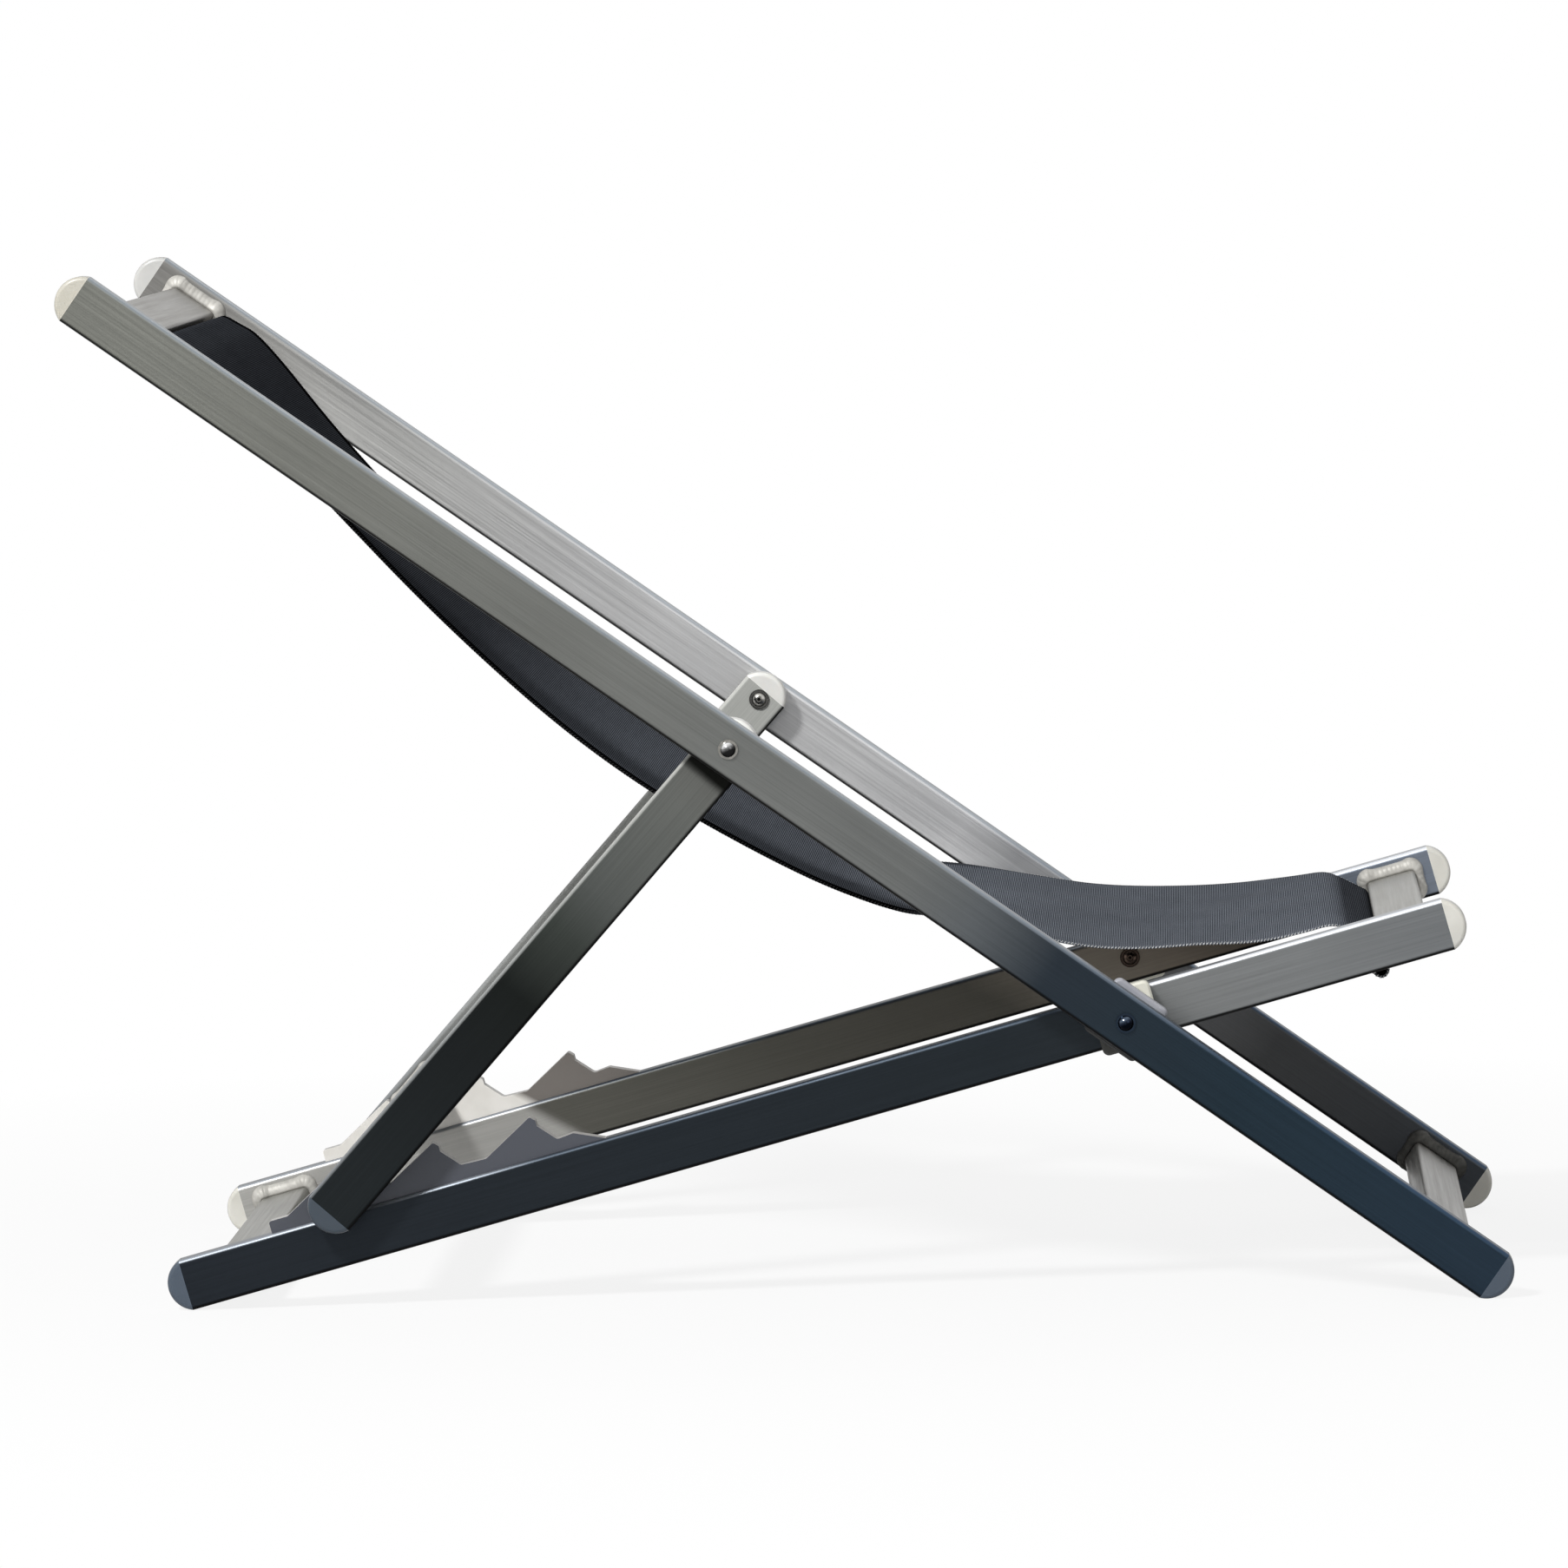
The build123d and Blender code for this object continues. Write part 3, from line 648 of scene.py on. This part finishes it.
def cloth_material():
    """Mesh cloth of coated yarn, with ribs across it, their yarns along it, painted light and shade down its
    length, and painted shade along its edges beside the back.
    """
    m = Finish("sling_cloth")
    mark = m.node("ShaderNodeUVMap", uv_map="cloth").outputs[0]
    across, down, _ = m.parts(mark)
    rib = m.maths("SINE", m.maths("MULTIPLY", down, 2 * math.pi / rib_pitch))
    yarn = m.maths("SINE", m.maths("MULTIPLY", across, 2 * math.pi / yarn_pitch))
    crossing = m.maths("MULTIPLY", m.maths("MULTIPLY", rib, yarn), 0.5)
    level = m.spread(m.maths("ADD", m.maths("MULTIPLY", rib, 0.7), crossing), -1.2, 1.2)
    colour = m.ramp(level, tones((0.1, 14, 15, 17), (0.55, 38, 40, 44), (0.95, 72, 75, 80)))
    # painted light and shade down the cloth's length
    shares = greys(*((at / painted_light_reach, value) for at, value in painted_light_down_sling))
    colour = m.times(colour, m.ramp(m.spread(down, 0.0, painted_light_reach), shares))
    # painted shade along the edges beside the back
    painted_edge_shade_start = sling_width / 2 - painted_edge_shade_width
    in_painted_edge_shade = m.spread(m.maths("ABSOLUTE", across), painted_edge_shade_start, painted_edge_shade_start + painted_edge_shade_blur)
    on_back = m.spread(down, *painted_edge_shade_ends, 1.0, 0.0)
    colour = m.mix(m.maths("MULTIPLY", in_painted_edge_shade, on_back), colour, srgb(9, 9, 10))
    streak = m.noise(m.scaled(mark, (14, 180, 1)), 1.0)
    patch = m.noise(mark, 9.0)
    wear_and_painted_light = m.times(colour, m.spread(streak, 0.3, 0.7, 0.94, 1.05))
    m.shade(Base_Color=m.times(wear_and_painted_light, m.spread(patch, 0.3, 0.7, 0.93, 1.06)))
    m.shade(Roughness=0.85, Specular_IOR_Level=0.0)
    m.bump(level, 0.12, 0.3 * MM)
    return m.material


def thread_material():
    """Edging thread, dark with painted shade beside the back and pale beside the seat."""
    m = Finish("edging_thread")
    place = m.object_place()
    pale = m.mix(m.noise(place, 700.0), srgb(190, 190, 188), srgb(228, 228, 225))
    # painted shade: the thread is dark beside the back
    on_seat = m.spread(m.parts(place)[0], *thread_painted_shade_ends)
    m.shade(Base_Color=m.mix(on_seat, srgb(14, 14, 15), pale), Roughness=0.7)
    return m.material


def smooth_line(points, rounds):
    """Corner-cut polyline: each pass keeps its ends and cuts every corner at a quarter of its runs."""
    for _ in range(rounds):
        cut = [points[0]]
        for first, second in zip(points, points[1:]):
            cut.append(first.lerp(second, 0.25))
            cut.append(first.lerp(second, 0.75))
        cut.append(points[-1])
        points = cut
    return points


def line_lengths(points):
    """How far along a line each of its points is."""
    lengths = [0.0]
    for first, second in zip(points, points[1:]):
        lengths.append(lengths[-1] + (second - first).length)
    return lengths


def even_line(points, step):
    """The same line with points evenly spaced along it."""
    lengths = line_lengths(points)
    count = max(2, round(lengths[-1] / step))
    placed, run = [], 0
    for index in range(count + 1):
        want = lengths[-1] * index / count
        while run < len(points) - 2 and lengths[run + 1] < want:
            run += 1
        share = (want - lengths[run]) / max(lengths[run + 1] - lengths[run], 1e-9)
        placed.append(points[run].lerp(points[run + 1], min(max(share, 0), 1)))
    return placed


# Sling shape: places are shares of the way to each rod, and heights are shares of the sag or the knee's rise
head_lift = 12.5 * MM
head_rise = 16 * MM
head_bend = 14 * MM
head_run = 38 * MM
front_round = 1 * MM
front_fall = 3 * MM
back_sag = 68.5 * MM
knee_rise = 112 * MM
back_shares = ((0.845, -0.25), (0.676, -0.72), (0.484, -1.0), (0.312, -0.84), (0.21, -0.53))
seat_shares = ((-0.586, 1.0), (-0.257, 0.71), (0.0, 0.505), (0.412, 0.317), (0.773, 0.228), (0.876, 0.212),
               (0.926, 0.15), (0.98, 0.062))
line_step = 4 * MM
sling_columns = 56
hem_steps = 20
hem_share = 0.97
head_slack = 0.1
front_slack = 1.5
slack_way = Vector((0.42, 0, -0.91))

# Where an edge of the cloth hangs lower, or pulls higher, than its even line: from, to and how much
right_hangs = ((pivot.x - 0.17, pivot.x + 0.14, 5 * MM), (pivot.x - 0.76, pivot.x - 0.56, 3 * MM),
               (pivot.x - 0.62, pivot.x - 0.25, 2.2 * MM), (pivot.x + 0.045, pivot.x + 0.178, 4.8 * MM),
               (pivot.x + 0.163, pivot.x + 0.2, -5 * MM))
left_hangs = ((pivot.x - 0.24, pivot.x + 0.18, -3 * MM),)


def sling_centre():
    """Middle line of the cloth from the head rod's hem to the front rod's."""
    head_side = head_rod - pocket_middle
    front_side = front_rod + pocket_middle
    corners = [(long_angle, head_side, height) for height in (-rod_drop, 0, head_lift)]
    corners.append((long_angle, head_side + head_bend, head_lift + 1 * MM))
    corners.append((long_angle, head_side + head_run, head_rise))
    corners += [(long_angle, share * head_rod, sag * back_sag) for share, sag in back_shares]
    corners += [(base_angle, share * front_rod, lift * knee_rise) for share, lift in seat_shares]
    corners += [(base_angle, front_side - front_round, 0.4 * MM), (base_angle, front_side, -front_round)]
    corners += [(base_angle, front_side, -front_fall), (base_angle, front_side, -rod_drop)]
    return smooth_line([along(*corner) for corner in corners], 5)


def sling_drop(x, across):
    """How far the cloth hangs below its even line, from its right edge at 0 to its left edge at 1."""
    drop = 0.0
    for hangs, weight in ((right_hangs, (1 - across) ** 2), (left_hangs, across ** 2)):
        for low, high, depth in hangs:
            share = (x - low) / (high - low)
            if 0 < share < 1:
                drop += weight * depth * math.sin(math.pi * share) ** 2
    return drop


def hem(rod_point, start, way, slack):
    """Points from the cloth's end round a rod and back to the cloth, slack below and ahead of the rod."""
    arm = start - rod_point
    arms = [Matrix.Rotation(way * 2 * math.pi * hem_share * step / hem_steps, 3, "Y") @ arm
            for step in range(1, hem_steps + 1)]
    return [rod_point + out * (1 + slack * max(0.0, out.dot(slack_way) / out.length) ** 1.2) for out in arms]


def across_line(points, index):
    """The way square to a line at one of its points, in the middle plane, with the way along it."""
    ahead = (points[min(index + 1, len(points) - 1)] - points[max(index - 1, 0)]).normalized()
    return Vector((-ahead.z, 0, ahead.x)), ahead


def make_sling():
    """One cloth in a thick closed sheet, its hems turned round the rods."""
    line = even_line(sling_centre(), line_step)
    head_hem = hem(along(long_angle, head_rod, -rod_drop), line[0], -1, head_slack)
    front_hem = hem(along(base_angle, front_rod, -rod_drop), line[-1], 1, front_slack)
    path = list(reversed(head_hem)) + line + front_hem
    lengths = line_lengths(path)
    bm = bmesh.new()
    uv = bm.loops.layers.uv.new("cloth")
    grid = []
    for row, point in enumerate(path):
        normal, _ = across_line(path, row)
        cells = []
        for column in range(sling_columns + 1):
            share = column / sling_columns
            y = -sling_width / 2 + sling_width * share
            place = Vector((point.x, y, point.z - sling_drop(point.x, share)))
            cells.append((place, normal, (y, lengths[row])))
        grid.append(cells)
    top, under = ([[bm.verts.new(place + sign * normal * sling_thickness / 2) for place, normal, _ in cells]
                   for cells in grid] for sign in (1, -1))

    def face(corners, marks, turned_over=False):
        made = bm.faces.new(corners[::-1] if turned_over else corners)
        made.smooth = True
        for loop, mark in zip(made.loops, marks):
            loop[uv].uv = mark

    last_row, last_column = len(path) - 1, sling_columns
    for row in range(last_row):
        for column in range(last_column):
            spots = [(row, column), (row + 1, column), (row + 1, column + 1), (row, column + 1)]
            marks = [grid[r][c][2] for r, c in spots]
            face([top[r][c] for r, c in spots], marks)
            face([under[r][c] for r, c in spots], marks[::-1], turned_over=True)
        for column in (0, last_column):
            corners = [top[row][column], under[row][column], under[row + 1][column], top[row + 1][column]]
            marks = [grid[row][column][2]] * 2 + [grid[row + 1][column][2]] * 2
            face(corners, marks, turned_over=column > 0)
    for row in (0, last_row):
        for column in range(last_column):
            corners = [top[row][column], top[row][column + 1], under[row][column + 1], under[row][column]]
            face(corners, [grid[row][column][2]] * 4, turned_over=row > 0)
    return new_piece("sling_cloth", bm, cloth_material()), lengths[-1], path


# Edging stitches
stitch_pitch = 2.6 * MM
stitch_inset = 0.9 * MM
stitch_bulge = 0.08 * MM
stitch_lift = 0.1 * MM
stitch_slant = 1.8 * MM
stitch_steps = 6
thread_radius = 0.34 * MM
thread_end_share = 0.6
thread_sides = 5


def thread_ring(centre, ahead, radius):
    """Points of a thread's round section, square to its way."""
    first = ahead.orthogonal().normalized()
    second = ahead.cross(first)
    turns = [2 * math.pi * k / thread_sides for k in range(thread_sides)]
    return [centre + (first * math.cos(turn) + second * math.sin(turn)) * radius for turn in turns]


def make_stitches(path):
    """Edging thread, overcast round both long edges of the cloth in short slanted stitches."""
    bm = bmesh.new()
    spots = even_line(path, stitch_pitch)
    arm = sling_thickness / 2 + stitch_lift
    for index in range(1, len(spots) - 1):
        point = spots[index]
        normal, ahead = across_line(spots, index)
        for side in (-1, 1):
            edge = Vector((point.x, side * sling_width / 2, point.z - sling_drop(point.x, (1 + side) / 2)))
            thread = []
            for step in range(stitch_steps + 1):
                angle = math.pi * step / stitch_steps - math.pi / 2
                slant = ahead * (step / stitch_steps - 0.5) * stitch_slant
                bulge = stitch_bulge * math.cos(angle) - stitch_inset * (1 - math.cos(angle))
                thread.append(edge + Vector((0, side * bulge, 0)) + normal * arm * math.sin(angle) + slant)
            rings = []
            for step, place in enumerate(thread):
                way = (thread[min(step + 1, stitch_steps)] - thread[max(step - 1, 0)]).normalized()
                radius = thread_radius * (thread_end_share if step in (0, stitch_steps) else 1.0)
                rings.append([bm.verts.new(spot) for spot in thread_ring(place, way, radius)])
            for ring, following in zip(rings, rings[1:]):
                for k in range(thread_sides):
                    after = (k + 1) % thread_sides
                    bm.faces.new((ring[k], ring[after], following[after], following[k])).smooth = True
            bm.faces.new(rings[0][::-1])
            bm.faces.new(rings[-1])
    return new_piece("sling_edging", bm, thread_material())


sling, sling_length, sling_path = make_sling()
edging = make_stitches(sling_path)
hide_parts("sling")
for piece in (sling, edging):
    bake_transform(piece)


# Floor, sky, lamps and camera
floor_reach = 60.0
shadow_reach = (0.6, 1.5)
white_share = 0.86
sky_strength = 0.25
lamps = (
    # name, place, the point it aims at, its disk's size and its power in watts
    ("key", (-2.1, -3.1, 3.7), (0, 0, 0.35), 0.7, 235),
    ("fill", (2.8, -3.6, 1.6), (0, 0, 0.35), 2.6, 22),
    ("back", (0.8, 3.4, 3.0), (0, 0, 0.4), 2.6, 22),
)


def make_floor():
    """A pale floor that the camera sees as white, but for most of a soft shadow under the chair."""
    mesh = bpy.data.meshes.new("floor")
    corners = [(x * floor_reach, y * floor_reach, 0) for x, y in ((-1, -1), (1, -1), (1, 1), (-1, 1))]
    mesh.from_pydata(corners, [], [(0, 1, 2, 3)])
    floor = bpy.data.objects.new("floor", mesh)
    bpy.context.collection.objects.link(floor)
    m = Finish("floor")
    m.shade(Base_Color=grey(0.8), Roughness=0.9, Specular_IOR_Level=0.1)
    seen = m.node("ShaderNodeLightPath").outputs["Is Camera Ray"]
    white = m.node("ShaderNodeEmission", {"Color": grey(1.0), "Strength": 1.0})
    away = m.vectors("LENGTH", m.object_place())
    share = m.maths("MULTIPLY", seen, m.spread(away, *shadow_reach, white_share, 1.0))
    mixed = m.node("ShaderNodeMixShader", {0: share, 1: m.shader.outputs[0], 2: white.outputs[0]})
    m.give(m.output.inputs[0], mixed.outputs[0])
    mesh.materials.append(m.material)


def make_sky():
    """A plain soft sky that is white where the camera, metal or glass shows it."""
    world = bpy.data.worlds.new("sky")
    bpy.context.scene.world = world
    m = Nodes(world)
    rays = m.node("ShaderNodeLightPath").outputs
    seen = m.maths("MAXIMUM", rays["Is Camera Ray"], rays["Is Transmission Ray"])
    seen = m.maths("MAXIMUM", seen, rays["Is Glossy Ray"])
    plain = m.node("ShaderNodeBackground", {"Color": grey(1.0), "Strength": sky_strength})
    white = m.node("ShaderNodeBackground", {"Color": grey(1.0), "Strength": 1.0})
    mixed = m.node("ShaderNodeMixShader", {0: seen, 1: plain.outputs[0], 2: white.outputs[0]})
    m.node("ShaderNodeOutputWorld", {0: mixed.outputs[0]})


def make_lamp(name, place, aim, size, power):
    data = bpy.data.lights.new(name, "AREA")
    data.shape = "DISK"
    data.size = size
    data.energy = power
    made = bpy.data.objects.new(name, data)
    bpy.context.collection.objects.link(made)
    made.location = place
    made.rotation_mode = "QUATERNION"
    made.rotation_quaternion = (Vector(aim) - Vector(place)).to_track_quat("-Z", "Y")


def make_camera():
    """The photograph's view: its bearing, height, lean and lens, fitted to the rails' edges."""
    bearing, height, lean = math.radians(2.466), math.radians(4.73), math.radians(1.207)
    distance = 7.15166
    aim = Vector((-0.259565, 0.0, 0.1811))
    focal_pixels, frame_pixels = 10861.98, 1806
    ahead = Matrix.Rotation(bearing, 3, "Z") @ Vector((0, math.cos(height), -math.sin(height)))
    side = ahead.cross(Vector((0, 0, 1))).normalized()
    up = side.cross(ahead)
    near_face = Vector((pivot.x, -half_width, pivot.z))
    tilt = Matrix.Rotation(lean, 3, "Y")
    data = bpy.data.cameras.new("camera")
    data.sensor_width = 36.0
    data.lens = data.sensor_width * focal_pixels / frame_pixels
    made = bpy.data.objects.new("camera", data)
    bpy.context.collection.objects.link(made)
    turn = Matrix((tilt @ side, tilt @ up, -(tilt @ ahead))).transposed().to_4x4()
    turn.translation = near_face + tilt @ (aim - ahead * distance)
    made.matrix_world = turn
    bpy.context.scene.camera = made


make_floor()
make_sky()
for lamp in lamps:
    make_lamp(*lamp)
make_camera()
bpy.context.scene.view_settings.view_transform = "Standard"
